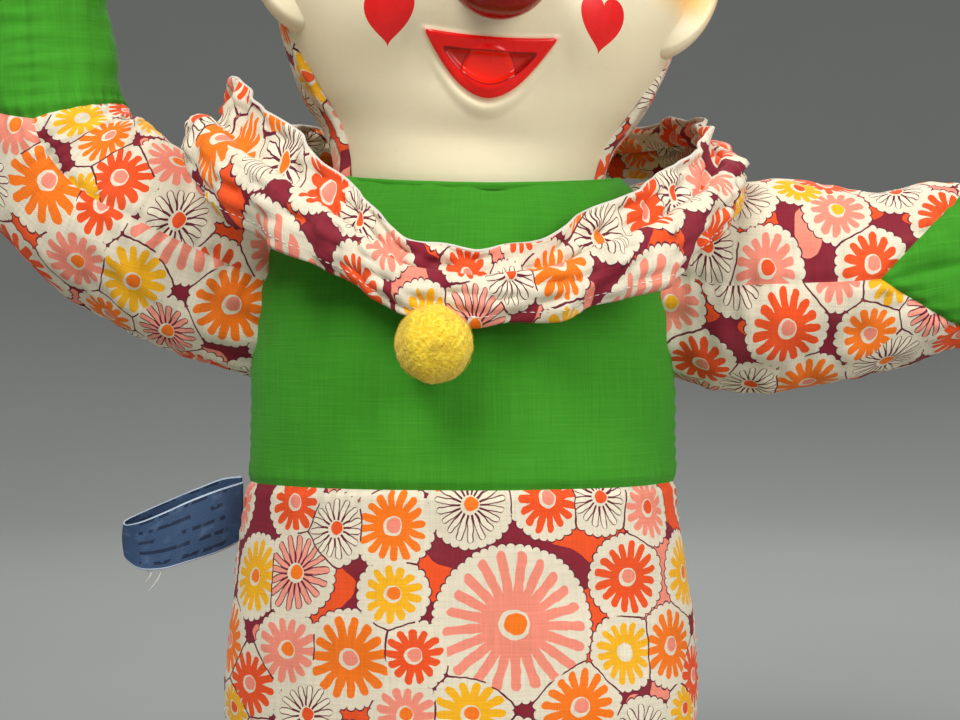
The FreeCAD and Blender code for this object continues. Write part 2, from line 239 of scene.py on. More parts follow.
# %% A finish, node by node
class Finish:
    """One material, made node by node."""

    def __init__(self, name):
        self.material = bpy.data.materials.new(name)
        self.material.use_nodes = True
        self.tree = self.material.node_tree
        self.tree.nodes.clear()

    def node(self, kind, settings=None, *inputs, out=0, stops=None, **named):
        """A node of a kind: settings first, then ramp stops, then the values or links of its sockets."""
        made = self.tree.nodes.new("ShaderNode" + kind)
        for key, value in (settings or {}).items():
            setattr(made, key, value)
        if stops:
            ramp = made.color_ramp
            for i, (place, colour) in enumerate(stops):
                stop = ramp.elements[i] if i < 2 else ramp.elements.new(place)
                stop.position, stop.color = place, (*colour, 1)
        pairs = list(enumerate(inputs)) + [(k.replace("_", " "), v) for k, v in named.items()]
        for key, value in pairs:
            if isinstance(value, Output):
                self.tree.links.new(value.socket, made.inputs[key])
            elif value is not None:
                made.inputs[key].default_value = value
        return Output(self, made.outputs[out])

    def mix(self, base, top, share, way="MIX"):
        """One colour over another by a share."""
        made = self.tree.nodes.new("ShaderNodeMix")
        made.data_type, made.blend_type = "RGBA", way
        for key, value in ((0, share), (6, base), (7, top)):
            if isinstance(value, Output):
                self.tree.links.new(value.socket, made.inputs[key])
            else:
                made.inputs[key].default_value = (*value, 1) if isinstance(value, tuple) else value
        return Output(self, made.outputs[2])

    def vector(self, operation, *inputs, out=0):
        return self.node("VectorMath", {"operation": operation}, *inputs, out=out)

    def cloth_place(self, shift=(0, 0, 0), turn=0.0, scale=(1, 1, 1)):
        """The piece's flat cloth coordinates in metres, turned, scaled and shifted."""
        flat = self.node("UVMap", {"uv_map": "cloth"})
        return self.node("Mapping", None, flat, shift, (0, 0, math.radians(turn)), scale)

    def object_place(self):
        """The point's place on the unturned object, in metres."""
        made = self.node("TexCoord").socket.node
        return Output(self, made.outputs["Object"])

    def noise(self, place, scale, detail=2.0, out=0):
        return self.node("TexNoise", None, out=out, Vector=place, Scale=scale, Detail=detail)

    def finished(self, colour, roughness, height=None, distance=0.0002, strength=0.6, **constants):
        """Principled shader with what changes linked in and what is constant set on its own sockets."""
        shader = self.tree.nodes.new("ShaderNodeBsdfPrincipled")
        for key, value in (("Base Color", colour), ("Roughness", roughness)):
            if isinstance(value, Output):
                self.tree.links.new(value.socket, shader.inputs[key])
            else:
                shader.inputs[key].default_value = (*value, 1) if isinstance(value, tuple) else value
        for key, value in constants.items():
            shader.inputs[key.replace("_", " ")].default_value = value
        if height is not None:
            bump = self.node("Bump", None, Strength=strength, Distance=distance, Height=height)
            self.tree.links.new(bump.socket, shader.inputs["Normal"])
        end = self.tree.nodes.new("ShaderNodeOutputMaterial")
        self.tree.links.new(shader.outputs[0], end.inputs[0])
        print(f"{self.material.name}: {len(self.tree.nodes)} nodes")
        return self.material


# %% Colours as a screen shows them
def tone(red, green, blue):
    """A screen colour, 0 to 255, as the linear light that shaders use."""
    return tuple(((c / 255 + 0.055) / 1.055) ** 2.4 if c > 10 else c / 3294 for c in (red, green, blue))


# %% [markdown]
# The printed cotton of the suit: daisies packed closely on dark red, each on a cream ground with a
# scalloped edge and a thin plum line, as a screen printer lays them. Real cloth repeats its print, so
# the flowers of one repeat are listed: place, petal radius, number of petals, petal colour and
# centre colour. At each point the shader looks for the flower that is nearest in units of its own
# size, keeps the way to that flower, and then draws petals only once, from angle and distance.

# %% The printer's list
ORANGE, RED_ORANGE, PINK, YELLOW, WHITE, BLUSH = range(6)
INKS = [tone(246, 116, 4), tone(236, 76, 18), tone(240, 138, 116), tone(244, 176, 6),
        tone(236, 226, 200), tone(242, 152, 132)]
CREAM, PLUM, WINE = tone(226, 215, 190), tone(98, 4, 44), tone(128, 2, 40)
REPEAT = (165.0, 100.0)
FLOWERS = [
    (16.9, 96.9, 23.5, 21, PINK, ORANGE), (57.5, 110.4, 12.2, 16, RED_ORANGE, PINK),
    (3.1, 135.5, 12.0, 18, WHITE, ORANGE), (29.4, 137.1, 11.2, 15, RED_ORANGE, PINK),
    (-22.6, 128.4, 11.9, 16, ORANGE, PINK), (-21.6, 106.6, 9.6, 13, YELLOW, ORANGE),
    (-56.5, 112.0, 12.8, 17, BLUSH, ORANGE), (-60.5, 135.0, 10.4, 13, RED_ORANGE, PINK),
    (-42.5, 127.0, 10.1, 15, WHITE, RED_ORANGE), (-35.4, 85.1, 14.0, 15, ORANGE, PINK),
    (-58.0, 86.5, 11.2, 14, PINK, ORANGE), (-14.4, 87.0, 9.2, 13, RED_ORANGE, PINK),
    (54.5, 86.0, 10.6, 15, YELLOW, WHITE), (74.5, 86.1, 12.0, 15, ORANGE, PINK),
    (48.5, 136.8, 10.2, 15, WHITE, RED_ORANGE), (-76.5, 109.2, 12.2, 15, YELLOW, ORANGE),
    (-74.1, 73.5, 11.4, 14, RED_ORANGE, PINK), (3.1, 68.3, 11.2, 14, YELLOW, ORANGE),
    (-16.8, 67.9, 9.4, 13, PINK, ORANGE), (37.2, 69.5, 12.2, 15, ORANGE, PINK),
    (-50.5, 65.7, 10.3, 15, WHITE, RED_ORANGE), (69.0, 132.5, 10.4, 14, PINK, RED_ORANGE),
    (18.0, 54.0, 10.6, 16, BLUSH, ORANGE), (-33.0, 51.0, 11.8, 15, RED_ORANGE, PINK),
    (60.0, 57.5, 11.4, 15, WHITE, ORANGE), (-4.5, 48.5, 9.4, 13, ORANGE, PINK),
    (-72.0, 52.5, 9.6, 13, PINK, YELLOW), (81.0, 64.0, 8.6, 13, YELLOW, RED_ORANGE),
]
print(len(FLOWERS), "flowers in a repeat of", REPEAT, "mm")


# %% The weave under every print
CIRCLE = 6.2832


def weave(finish, place, threads=0.00075):
    """Height of a plain weave: two sets of soft ridges that cross, and uneven threads along each."""
    across, along, _ = place.split()
    ridge = (across * (CIRCLE / threads)).math("SINE") * (along * (CIRCLE / threads)).math("SINE")
    warp = finish.noise(finish.vector("MULTIPLY", place, (1500, 70, 1)), 1.0, 1.0)
    weft = finish.noise(finish.vector("MULTIPLY", place, (70, 1500, 1)), 1.0, 1.0)
    return ridge * 0.22 + warp + weft


# %% The daisy print
HALO, BUMP, OUTLINE = 0.0019, 0.0012, 0.0005
BUMPS_PER_METRE = 1150


def printed(name, shift=(0.0, 0.0), turn=0.0):
    """The daisy print, moved and turned on its cloth so that each panel is cut from another place."""
    finish = Finish(name)
    flat = finish.cloth_place((shift[0] / 1000, shift[1] / 1000, 0), turn)
    wobble = finish.noise(flat, 260.0, 1.0, out=1)
    wobble = finish.vector("SUBTRACT", wobble, (0.5, 0.5, 0.5))
    place = finish.vector("MULTIPLY_ADD", wobble, (0.0012, 0.0012, 0), flat)
    nearest, second, way, facts = 9.0, 9.0, (0.0, 0.0, 0.0), (0.0, 12.0, 0.012)
    half = (REPEAT[0] / 2000, REPEAT[1] / 2000, 0)
    for x, z, radius, petals, ink, centre in FLOWERS:
        apart = finish.vector("SUBTRACT", place, (x / 1000, z / 1000, 0))
        apart = finish.vector("WRAP", apart, half, tuple(-h for h in half))
        far = finish.vector("LENGTH", apart, out=1) * (1000 / (radius + 2.6))
        closer = far < nearest
        second = (far.highest(nearest)).lowest(second)
        nearest = far.lowest(nearest)
        way = finish.node("Mix", {"data_type": "VECTOR"}, closer, None, None, None, way, apart, out=1)
        mark = (ink + centre / 10, petals, radius / 1000)
        facts = finish.node("Mix", {"data_type": "VECTOR"}, closer, None, None, None, facts, mark, out=1)

    code, petals, radius = facts.split()
    beside, above, _ = way.split()
    distance = finish.vector("LENGTH", way, out=1)
    angle = above.math("ARCTAN2", beside) + radius * 900
    beat = angle * petals * (1 / CIRCLE)
    middle = abs(beat.fraction() - 0.5)
    arc = distance * CIRCLE / petals
    longer = (angle * 3 + petals).math("SINE") * 0.06 + 0.97
    finger = radius * 3.1416 * (0.62 - radius * 7.5) / petals
    beyond = (distance - radius * longer + finger).highest(0.0)
    round_tip = (finger * finger - beyond * beyond).highest(0.0).root()
    petal = middle * arc < (arc * 0.5).lowest(round_tip)
    ink = code.math("FLOOR")
    palette = [(i / 6, INKS[i]) for i in range(6)]
    petal_ink = finish.node("ValToRGB", None, ink / 6 + 0.01, stops=palette)
    dot_ink = finish.node("ValToRGB", None, code.fraction() * (10 / 6) + 0.02, stops=palette)
    for inks in (petal_ink, dot_ink):
        inks.socket.node.color_ramp.interpolation = "CONSTANT"

    scallop = (angle * (radius * BUMPS_PER_METRE).math("ROUND")).math("SINE")
    edge = radius + HALO + abs(scallop).root() * BUMP
    outside = distance > edge
    drawn = finish.noise(place, 60.0, 0.5) > 0.47
    on_edge = (distance > edge - OUTLINE) * (1 - outside)
    meeting = (second - nearest) * radius < 0.00042
    line = on_edge.highest(meeting * (1 - outside) * drawn)
    patches = finish.noise(place, 34.0, 0.5)
    gap_ink = finish.mix(WINE, INKS[RED_ORANGE], patches > 0.57)
    gap_ink = finish.mix(gap_ink, INKS[PINK], patches < 0.38)

    outlined = ink > 3.5
    rim = middle * arc > (arc * 0.5).lowest(round_tip) - 0.00036
    colour = finish.mix(CREAM, petal_ink, petal)
    colour = finish.mix(colour, PLUM, petal * rim * outlined)
    aside = finish.vector("LENGTH", finish.vector("SUBTRACT", way, (0.0004, 0.0003, 0)), out=1)
    ring = distance < radius * 0.15 + 0.0014
    dot = aside < radius * 0.10 + 0.0012
    colour = finish.mix(colour, CREAM, ring)
    colour = finish.mix(colour, dot_ink, dot)
    colour = finish.mix(colour, gap_ink, outside)
    colour = finish.mix(colour, PLUM, line)

    threads = weave(finish, flat)
    worn = finish.noise(flat, 55.0, 3.0)
    colour = finish.mix(colour, tone(205, 186, 152), worn * 0.07)
    shade = 0.70 + threads * 0.24
    tint = finish.node("CombineColor", None, shade, shade, shade)
    colour = finish.mix(colour, tint, 1.0, "MULTIPLY")
    return finish.finished(colour, 0.84 - threads * 0.04, threads, 0.00018, 0.55,
                           Sheen_Weight=0.05, Sheen_Roughness=0.5, Specular_IOR_Level=0.15)


# %% One print for each panel
suit = printed("suit_print")
suit_left = printed("left_sleeve_print", (38, 26), 4)
suit_right = printed("right_sleeve_print", (-22, 57), -8)
collar_print = printed("collar_print", (64, 12))
hood_print = printed("hood_print", (12, 40))

# %% [markdown]
# The other finishes are simpler. The green is a plain linen-like cotton whose threads vary along
# their length, so the slubs are noise stretched along each thread. The pom-pom is felted wool, mottled
# and dull. The nose is polished plastic, and the tube inside the head is rolled card.

# %% Green cotton and lining
def cotton(name, colour, slub=0.5):
    """Plain weave in one dye: threads light and dark, faded patches, and a dull surface."""
    finish = Finish(name)
    flat = finish.cloth_place()
    threads = weave(finish, flat)
    slubs = finish.noise(finish.vector("MULTIPLY", flat, (1700, 26, 1)), 1.0, 2.0) \
        + finish.noise(finish.vector("MULTIPLY", flat, (26, 1700, 1)), 1.0, 2.0)
    worn = finish.noise(flat, 22.0, 3.0)
    dark = tuple(c * 0.62 for c in colour)
    light = tuple(min(c * 1.25 + 0.01, 1) for c in colour)
    shade = finish.mix(dark, light, slubs * slub + threads * 0.28 + worn * 0.3 - 0.35)
    return finish.finished(shade, 0.86 - worn * 0.06, threads + slubs * 0.5, 0.0002, 0.6,
                           Sheen_Weight=0.05, Sheen_Roughness=0.5, Specular_IOR_Level=0.12)


green = cotton("green_cotton", tone(56, 140, 24))
lining = cotton("white_lining", tone(222, 216, 202), 0.3)


# %% Felt
def felt():
    """Felted wool: matted fibres and a few dark specks."""
    finish = Finish("yellow_felt")
    place = finish.object_place()
    mats = finish.noise(place, 900.0, 4.0)
    blotch = finish.noise(place, 170.0, 3.0)
    specks = finish.node("TexVoronoi", None, Vector=place, Scale=420.0)
    colour = finish.mix(tone(224, 184, 30), tone(248, 218, 74), mats.soft(0.3, 0.75))
    colour = finish.mix(colour, tone(168, 130, 40), blotch.soft(0.52, 0.8) * 0.6)
    colour = finish.mix(colour, tone(110, 84, 40), (specks < 0.10) * blotch.soft(0.4, 0.6) * 0.6)
    return finish.finished(colour, 0.94, mats + blotch, 0.0009, 0.8,
                           Sheen_Weight=0.15, Sheen_Roughness=0.6, Specular_IOR_Level=0.1)


# %% [markdown]
# The care label is a blue ribbon with fine ribs across it. A maker prints words there. Plain bars
# stand for them: rows from the fraction of the height, broken by noise that is stretched along a row.
# Thread is spun, and all that shows of it is a fine change from light to dark.

# %% Ribbon and thread
def ribbon():
    """Woven label ribbon: fine cross ribs, rows of plain bars where a maker prints, and a pale edge."""
    finish = Finish("blue_ribbon")
    flat = finish.cloth_place()
    along, up, _ = flat.split()
    ribs = (up * (CIRCLE / 0.0007)).math("SINE")
    row = (up * (1 / 0.0044)).fraction()
    words = finish.noise(finish.vector("MULTIPLY", flat, (420, 227, 1)), 1.0, 0.0)
    bars = (row > 0.42) * (row < 0.72) * (words > 0.44) * (along > 0.006) * (along < 0.036)
    colour = finish.mix(tone(50, 72, 102), tone(22, 30, 52), bars * 0.85)
    edge = (up > 0.0206).highest(up < 0.0006)
    colour = finish.mix(colour, tone(176, 190, 206), edge)
    worn = finish.noise(flat, 160.0, 3.0)
    colour = finish.mix(colour, tone(98, 122, 154), worn.soft(0.5, 0.8) * 0.5)
    return finish.finished(colour, 0.66, ribs * 0.5 + worn, 0.00012, 0.5, Specular_IOR_Level=0.2)


def thread(name, colour):
    """Spun thread: a fine twist seen as slanting bands."""
    finish = Finish(name)
    place = finish.object_place()
    twist = finish.noise(place, 2600.0, 2.0)
    dark = tuple(c * 0.7 for c in colour)
    return finish.finished(finish.mix(dark, colour, twist), 0.8, twist, 0.0001, 0.5)


yellow_felt, blue_ribbon = felt(), ribbon()
white_thread = thread("white_thread", tone(232, 226, 214))


# %% Red plastic, card
def red_plastic():
    """Polished dark red plastic with a few fine scuffs."""
    finish = Finish("red_plastic")
    place = finish.object_place()
    scuffs = finish.noise(finish.vector("MULTIPLY", place, (300, 1200, 500)), 1.0, 3.0)
    colour = finish.mix(tone(136, 2, 4), tone(158, 6, 6), scuffs)
    return finish.finished(colour, 0.20 + scuffs.soft(0.55, 0.8) * 0.12, scuffs, 0.00006, 0.3,
                           Coat_Weight=0.05, Specular_IOR_Level=0.25)


def card(name, colour):
    """Rolled card: spiral fibres, matt."""
    finish = Finish(name)
    place = finish.object_place()
    fibres = finish.noise(finish.vector("MULTIPLY", place, (500, 500, 2500)), 1.0, 3.0)
    dark = tuple(c * 0.75 for c in colour)
    return finish.finished(finish.mix(dark, colour, fibres), 0.9, fibres, 0.0002, 0.5)


nose_red, brown_card = red_plastic(), card("brown_card", tone(178, 146, 104))
washer_white = card("washer_plastic", tone(214, 210, 200))

# %% [markdown]
# The body is a stuffed tube of green cotton above and printed cotton below, with a waist seam, side
# seams and a turned hem. It is worked out as ovals whose half widths and middles change smoothly with
# height, and each seam pulls the cloth in by a formula of the distance to it. A grid gives full control
# of where the seams run, so no remeshing can blur them.

# %% The body's ovals
BODY_RINGS = [
    (0, 76, 46, 0), (12, 80, 50, 0), (45, 81.4, 53, 0), (77, 81.5, 54, 0), (110, 78.5, 53.8, 0),
    (140, 74.6, 53, 0), (180, 73, 52, 0), (212, 71, 51.5, 0.5), (229, 66.5, 51, 1.5),
    (240, 58, 50, 2.3), (247, 50, 48, 2.5),
]
WAIST = 140


def body_point(bearing, height, out=0.0):
    """x = middle + half width * cos(bearing), y = half depth * sin(bearing), at a height."""
    half_x, half_y, middle = np.moveaxis(through(BODY_RINGS, height), -1, 0)
    return np.stack([middle + (half_x + out) * np.cos(bearing), (half_y + out) * np.sin(bearing),
                     height + 0 * bearing], -1)


def arc_from_front(bearing, half_x=78.0, half_y=52.5):
    """Length along an oval from its front middle, by adding up short steps."""
    step = np.linspace(-np.pi / 2, 1.5 * np.pi, 2001)
    pace = np.hypot(half_x * np.sin(step), half_y * np.cos(step)) * (step[1] - step[0])
    return np.interp(bearing, step, np.cumsum(pace) - pace[0])


def body_panel(first, last, bottom, top, shift=(0, 0), columns=190, rows=100):
    """One panel of the body from a bearing to another; top is a height for each bearing."""
    bearing = np.linspace(first, last, columns)[None, :] + np.zeros((rows, 1))
    rise = np.linspace(0, 1, rows)[:, None] ** 0.95
    height = bottom + (top(bearing) - bottom) * rise
    arc = arc_from_front(np.mod(bearing + np.pi / 2, 2 * np.pi) - np.pi / 2)
    if last <= 0:
        arc = np.where(arc > arc_from_front(np.pi / 2), arc - arc_from_front(1.5 * np.pi), arc)
    whole = arc_from_front(1.5 * np.pi)
    nearer = np.minimum(np.abs(arc), whole - np.abs(arc))
    beside, behind = 78 * np.cos(bearing), 52 * np.sin(bearing)
    out = 0.4 + 0.6 * folds(beside, height + behind, 46, 3) + 0.2 * folds(beside - behind, height, 17, 4)
    out = out + seam(height - WAIST, nearer, 1.4, 0.22)
    side = np.abs(np.sin(bearing)) * 54
    out = out + seam(side, height, 1.0, 0.3)
    under = 2.5 * np.exp(-(height / 2.2) ** 2)
    pull = 0.5 * np.exp(-((height - 226) / 12) ** 2) * folds(beside + behind, height * 0.3, 22, 8)
    points = body_point(bearing, height, out - under + pull * (bottom >= WAIST - 1))
    return patch(points, np.stack([arc + shift[0], height + shift[1]], -1))


def neckline(bearing):
    """The neckline is highest over the shoulders and dips towards front and back."""
    return 246.4 - 6.8 * np.abs(np.sin(bearing)) ** 1.4 - 0.8 * np.cos(bearing)


FRONT, BACK = (-np.pi, 0.0), (0.0, np.pi)
bodice = sew("bodice", [body_panel(*FRONT, WAIST - 0.3, neckline),
                        body_panel(*BACK, WAIST - 0.3, neckline, (31, 0))], "torso", green)
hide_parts("bodice_front", "bodice_back", "chest_stuffing", "neck_cord")
level = lambda bearing: WAIST + 0.3 + 0 * bearing
skirt = sew("skirt", [body_panel(*FRONT, 0.6, level, rows=120),
                      body_panel(*BACK, 0.6, level, (47, 33), rows=120)], "torso", suit)
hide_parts("skirt_front", "skirt_back", "skirt_stuffing")

# %% [markdown]
# The neckline is faced: its edge is turned in beside the neck of the moulded face, so a narrow rolled
# band is added there. The collar further on is stitched. A stitch is a short thread lying on the cloth,
# and all stitches of a seam are worked out at once, as small bent tubes.

# %% Stitches
def tubes(starts, ends, lift, radius, outward, sides=5, steps=5):
    """Many short bent threads: from start to end, raised along outward in the middle by a half sine."""
    t = np.linspace(0, 1, steps)[None, :, None]
    centre = starts[:, None] + (ends - starts)[:, None] * t + outward[:, None] * (np.sin(t * np.pi) * lift)
    run = (ends - starts) / np.maximum(np.linalg.norm(ends - starts, axis=1, keepdims=True), 1e-9)
    side = np.cross(run, outward)
    side /= np.maximum(np.linalg.norm(side, axis=1, keepdims=True), 1e-9)
    up = np.cross(side, run)
    angle = np.linspace(0, 2 * np.pi, sides + 1)
    slim = radius * np.sin(np.linspace(0.35, np.pi - 0.35, steps))[None, :, None, None]
    angle = angle[None, None, :, None]
    around = side[:, None, None] * np.cos(angle) + up[:, None, None] * np.sin(angle)
    grid = centre[:, :, None] + around * slim
    return [patch(tube, np.zeros(2)) for tube in grid]


def stitched(name, line, outward, body, material, length, gap, lift, radius):
    """A row of stitches along a line of points; outward is the cloth's direction there."""
    run = np.concatenate([[0], np.cumsum(np.linalg.norm(np.diff(line, axis=0), axis=1))])
    count = max(int(run[-1] / (length + gap)), 1)
    begin = (np.arange(count) + 0.15) * run[-1] / count
    pick = lambda values, at: np.stack([np.interp(at, run, values[:, k]) for k in range(3)], -1)
    finish = begin + length * run[-1] / count / (length + gap)
    return sew(name, tubes(pick(line, begin), pick(line, finish), lift, radius, pick(outward, begin)),
               body, material, merge=0.0005)


# %% Neck facing
around = np.linspace(0, 2 * np.pi, 361)
roll = np.linspace(0, 1, 12)[:, None]
neck_edge = neckline(around)[None, :]
roll_out = 0.2 + 0.9 * np.sin(roll * np.pi) - 2.6 * roll ** 2
roll_up = -2.4 + 3.6 * np.sin(roll * 1.75) - 4.0 * roll ** 3
facing = body_point(around[None, :] + 0 * roll, neck_edge + 0 * roll, roll_out)
facing[..., 2] += roll_up
facing_flat = np.stack([around * 48 + 0 * roll, roll_up + 0 * around], -1)
neck_facing = sew("neck_facing", [patch(facing, facing_flat)], "torso", green)

# %% [markdown]
# Below, the suit is closed by a cloth with a round mouth, and a hand goes through the mouth into a
# white sleeve. The cloth is a fan of straight spokes from the hem to the mouth with small gathers. The
# cuff and the sleeve are profiles turned round the upright axis, as on a lathe, with soft ripples.

# %% Base cloth
spokes = np.linspace(0, 1, 30)[:, None]
hem = body_point(around[None, :], 0.8 + 0 * around[None, :], -1.2)
mouth = np.stack([40.3 * np.cos(around), 40.3 * np.sin(around), 0.6 + 0 * around], -1)[None]
base = hem + (mouth - hem) * spokes[..., None]
base[..., 2] += 0.5 + 0.5 * np.sin(around * 24)[None, :] * np.sin(spokes * np.pi) ** 0.5 * 0.8
base_cloth = sew("base_cloth", [patch(base, base[..., :2])], "torso", lining)
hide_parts("base_panel")

# %% Cuff and hand sleeve
def tube_flat(height):
    """Flat cloth of a tube of 40 mm radius: arc one way, height the other."""
    return np.stack([around[::2] * 40 + 0 * height[:, None], height[:, None] + 0 * around[::2]], -1)


cuff_height = np.linspace(0.3, 25.2, 22)
cuff_radius = 40.5 + 0.5 * np.exp(-((cuff_height - 23) / 1.2) ** 2)
cuff = sew("cuff", [patch(turned(cuff_radius, cuff_height, 180), tube_flat(cuff_height))],
           "torso", lining)
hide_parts("hand_cuff")

sleeve_height = np.linspace(24.5, 200, 90)
sleeve_radius = 40.6 - 25 * np.clip((sleeve_height - 140) / 60, 0, 1)
inner = turned(sleeve_radius, sleeve_height, 180)
ripple = 1 + 0.012 * folds(around[::2][None, :] * 40, sleeve_height[:, None] * 0.35, 22, 12)
inner[..., :2] *= ripple[..., None]
hand_lining = sew("hand_lining", [patch(inner, tube_flat(sleeve_height))], "torso", lining)
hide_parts("hand_sleeve")

# %% [markdown]
# Each arm is one line through shoulder and elbow, bent smoothly at the elbow, with ovals across it.
# The printed sleeve is cut in two pieces between the two joints; these and the mitt are not attached
# to any body. Both end in the same oval, so the cut can't be seen. A seam runs along the front of the
# sleeve, where the print does not meet.

# %% The arm's ovals and its half sleeves
ARM_RINGS = [
    (-24, 13, 26), (-10, 17.5, 32.5), (0, 19.5, 34.3), (10, 21.5, 35.6), (28, 23.8, 36.3), (44, 24.6, 36),
    (59, 24.2, 34.4), (72, 23.4, 32.4), (88, 22.6, 29.8), (102, 21.8, 28.2), (121, 20.7, 26), (139, 20, 25),
]
REACH, ROUND_FROM, TIP = 81.0, 139.0, 159.6
BESIDE, SHOULDER_HEIGHT, SAG = 72.0, 211.0, 4.5


def arm_point(side, raises, along, turn, out):
    """Oval across a line: straight, then a soft bend about the elbow, then straight again."""
    first, second = (np.array([math.cos(math.radians(a)), math.sin(math.radians(a))]) for a in raises)
    soft = 27.0
    w = np.clip((along - REACH + soft) / (2 * soft), 0, 1)[..., None]
    elbow = first * REACH
    bend = (1 - w) ** 2 * (elbow - first * soft) + 2 * w * (1 - w) * elbow + w ** 2 * (elbow + second * soft)
    before = np.minimum(along - REACH + soft, 0)[..., None] * first
    after = np.maximum(along - REACH - soft, 0)[..., None] * second
    line = bend + before + after
    heading = (1 - w) * first + w * second
    heading = heading / np.linalg.norm(heading, axis=-1, keepdims=True)
    up = np.stack([-heading[..., 1], heading[..., 0]], -1)
    half_depth, half_height = np.moveaxis(through(ARM_RINGS, np.minimum(along, ROUND_FROM)), -1, 0)
    cap = np.clip((along - ROUND_FROM) / (TIP - ROUND_FROM), 0, 1)
    shrink = (1 - cap ** 2.3) ** 0.5
    depth = -(half_depth * shrink + out * shrink) * np.cos(turn)
    rise = (half_height * shrink + out * shrink) * np.sin(turn)
    flat = line + up * rise[..., None]
    if side > 0:
        flat[..., 1] -= SAG * eased(along, 0, 18) * (1 - eased(along, 60, 110))
    return np.stack([side * (BESIDE + flat[..., 0]), depth, SHOULDER_HEIGHT + flat[..., 1]], -1)


def arm_patch(side, raises, start, end, upper, columns, rows, seed, shift=(0, 0), mitt=False):
    """Half a sleeve between two ends, each a function of the turn about the arm, which starts in front."""
    turn = np.linspace(0, np.pi, columns)[None, :] * (1 if upper else -1) + np.zeros((rows, 1))
    share = np.linspace(0, 1, rows)[:, None]
    if mitt:
        share = 1 - (1 - share) ** 1.5
    along = start(turn) + (end(turn) - start(turn)) * share
    girth = turn * 29
    out = 0.8 * folds(along, girth, 30, seed) + 0.35 * folds(along, girth, 11, seed + 1)
    from_front = np.abs(turn) * 23
    out = out + seam(from_front, along, 1.1, 0.3) + seam(np.abs(np.abs(turn) - np.pi) * 23, along, 0.8, 0.2)
    out = out + seam((along - mitt_seam(side, turn)) * 0.9, girth, 1.3, 0.45)
    on_top = np.maximum(np.sin(turn), 0) ** 2
    crease = np.exp(-((along - REACH) / 16) ** 2) * on_top * (raises[1] - raises[0]) / 60
    out = out + 0.7 * crease * np.sin(along / 2.6 + 1.1 * np.sin(turn * 3)) - 0.8 * crease
    if side < 0:
        out = out - 7.5 * np.exp(-((along - 40) / 20) ** 2) * on_top
    gather = np.exp(-((along + 4) / 11) ** 2) * np.sin(turn * 15 + np.sin(turn * 4))
    points = arm_point(side, raises, along, turn, out + 0.9 * gather)
    return patch(points, np.stack([along * side + shift[0], girth + shift[1]], -1))


def mitt_seam(side, turn):
    """Where the mitt begins: a point towards the body at front and back, deeper on the left arm."""
    rise = np.sin(turn)
    return 70 + 36 * np.abs(rise) if side > 0 else 98 + 6 * np.abs(rise) - 4 * rise


# %% Both arms
cut_at = lambda turn: 45 + 0 * turn
inside = lambda turn: -24 + 0 * turn
tip = lambda turn: TIP + 0 * turn
ARMS = {"left": (1, (2, 4), suit_left, 21), "right": (-1, (26, 86), suit_right, 51)}
for name, (side, raises, cloth, seed) in ARMS.items():
    seam_line = lambda turn, side=side: mitt_seam(side, turn)
    halves = ((True, (0, 0)), (False, (58, 31)))
    parts = []
    for part, start, end, rows, slot, finish in (
            ("sleeve_upper", inside, cut_at, 62, "flower_print", cloth),
            ("sleeve_lower", cut_at, seam_line, 50, "flower_print", cloth),
            ("mitt_cover", seam_line, tip, 84, "green_cotton", green)):
        parts.append(sew(f"{name}_{part}", [
            arm_patch(side, raises, start, end, half, 86, rows, seed, shift, part == "mitt_cover")
            for half, shift in halves], None, finish))
    upper, lower, mitt = parts
    first, second = (np.array([side * math.cos(math.radians(a)), 0, math.sin(math.radians(a))])
                     for a in raises)
    shoulder = np.array([side * BESIDE, 0, SHOULDER_HEIGHT]) / 1000
    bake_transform(upper)
    for piece in (lower, mitt):
        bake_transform(piece)
    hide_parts(f"{name}_upper_sleeve", f"{name}_upper_stuffing")
    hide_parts(f"{name}_lower_sleeve", f"{name}_forearm_stuffing")
    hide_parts(f"{name}_mitt")

# %% [markdown]
# The head is worked out upright in its own frame, about the point where it turns on the neck, and only
# then leaned and turned into place. The face is one smooth skin: an oval at each height, pushed out or
# in by soft bumps for lips, chin, cheeks, brow and eye hollows. Those bumps are bell curves of the
# distance to each feature, so they blend as moulded vinyl does.

# %% The head's own frame
PIVOT = np.array([2.5, 0, 250.0])
LEAN, TURN = math.radians(3.4), math.radians(5.2)
HEAD_RINGS = [
    (-46, 2, 2, 0), (-40, 22.7, 22.7, 0), (-32, 33, 33, 0), (-22, 40.4, 40.4, 0), (-11, 44.8, 44.8, 0),
    (0, 46.8, 46.4, 0), (9, 49.8, 48.2, 0), (20, 57, 51.8, 0), (37, 65, 57, -1), (55, 68.5, 61, -2),
    (75, 70, 63, -2), (98, 67, 61, -1), (118, 56, 52, 0), (132, 37, 35, 0), (139, 20, 19, 0), (142, 5, 5, 0),
]
MOUTH_TOP, MOUTH_SAG, MOUTH_FOOT, MOUTH_HALF, MOUTH_POWER = 35.2, 0.0036, 16.4, 20.3, 1.85
TONGUE_HEIGHT, TONGUE_HALF, TONGUE_TALL, EYE_BESIDE = 25.5, 8.4, 7.6, 22


def placed(points):
    """Head frame to puppet: turned about the upright axis, leaned to the side, moved to the neck."""
    x, y, z = np.moveaxis(points, -1, 0)
    x, y = x * math.cos(TURN) - y * math.sin(TURN), x * math.sin(TURN) + y * math.cos(TURN)
    x, z = x * math.cos(LEAN) + z * math.sin(LEAN), -x * math.sin(LEAN) + z * math.cos(LEAN)
    return np.stack([x, y, z], -1) + PIVOT


def head_point(bearing, height, out=0.0):
    """x = half width * sin(bearing), y = middle - half depth * cos(bearing), at a height."""
    half_x, half_y, middle = np.moveaxis(through(HEAD_RINGS, height), -1, 0)
    return np.stack([(half_x + out) * np.sin(bearing), middle - (half_y + out) * np.cos(bearing),
                     height + 0 * bearing], -1)


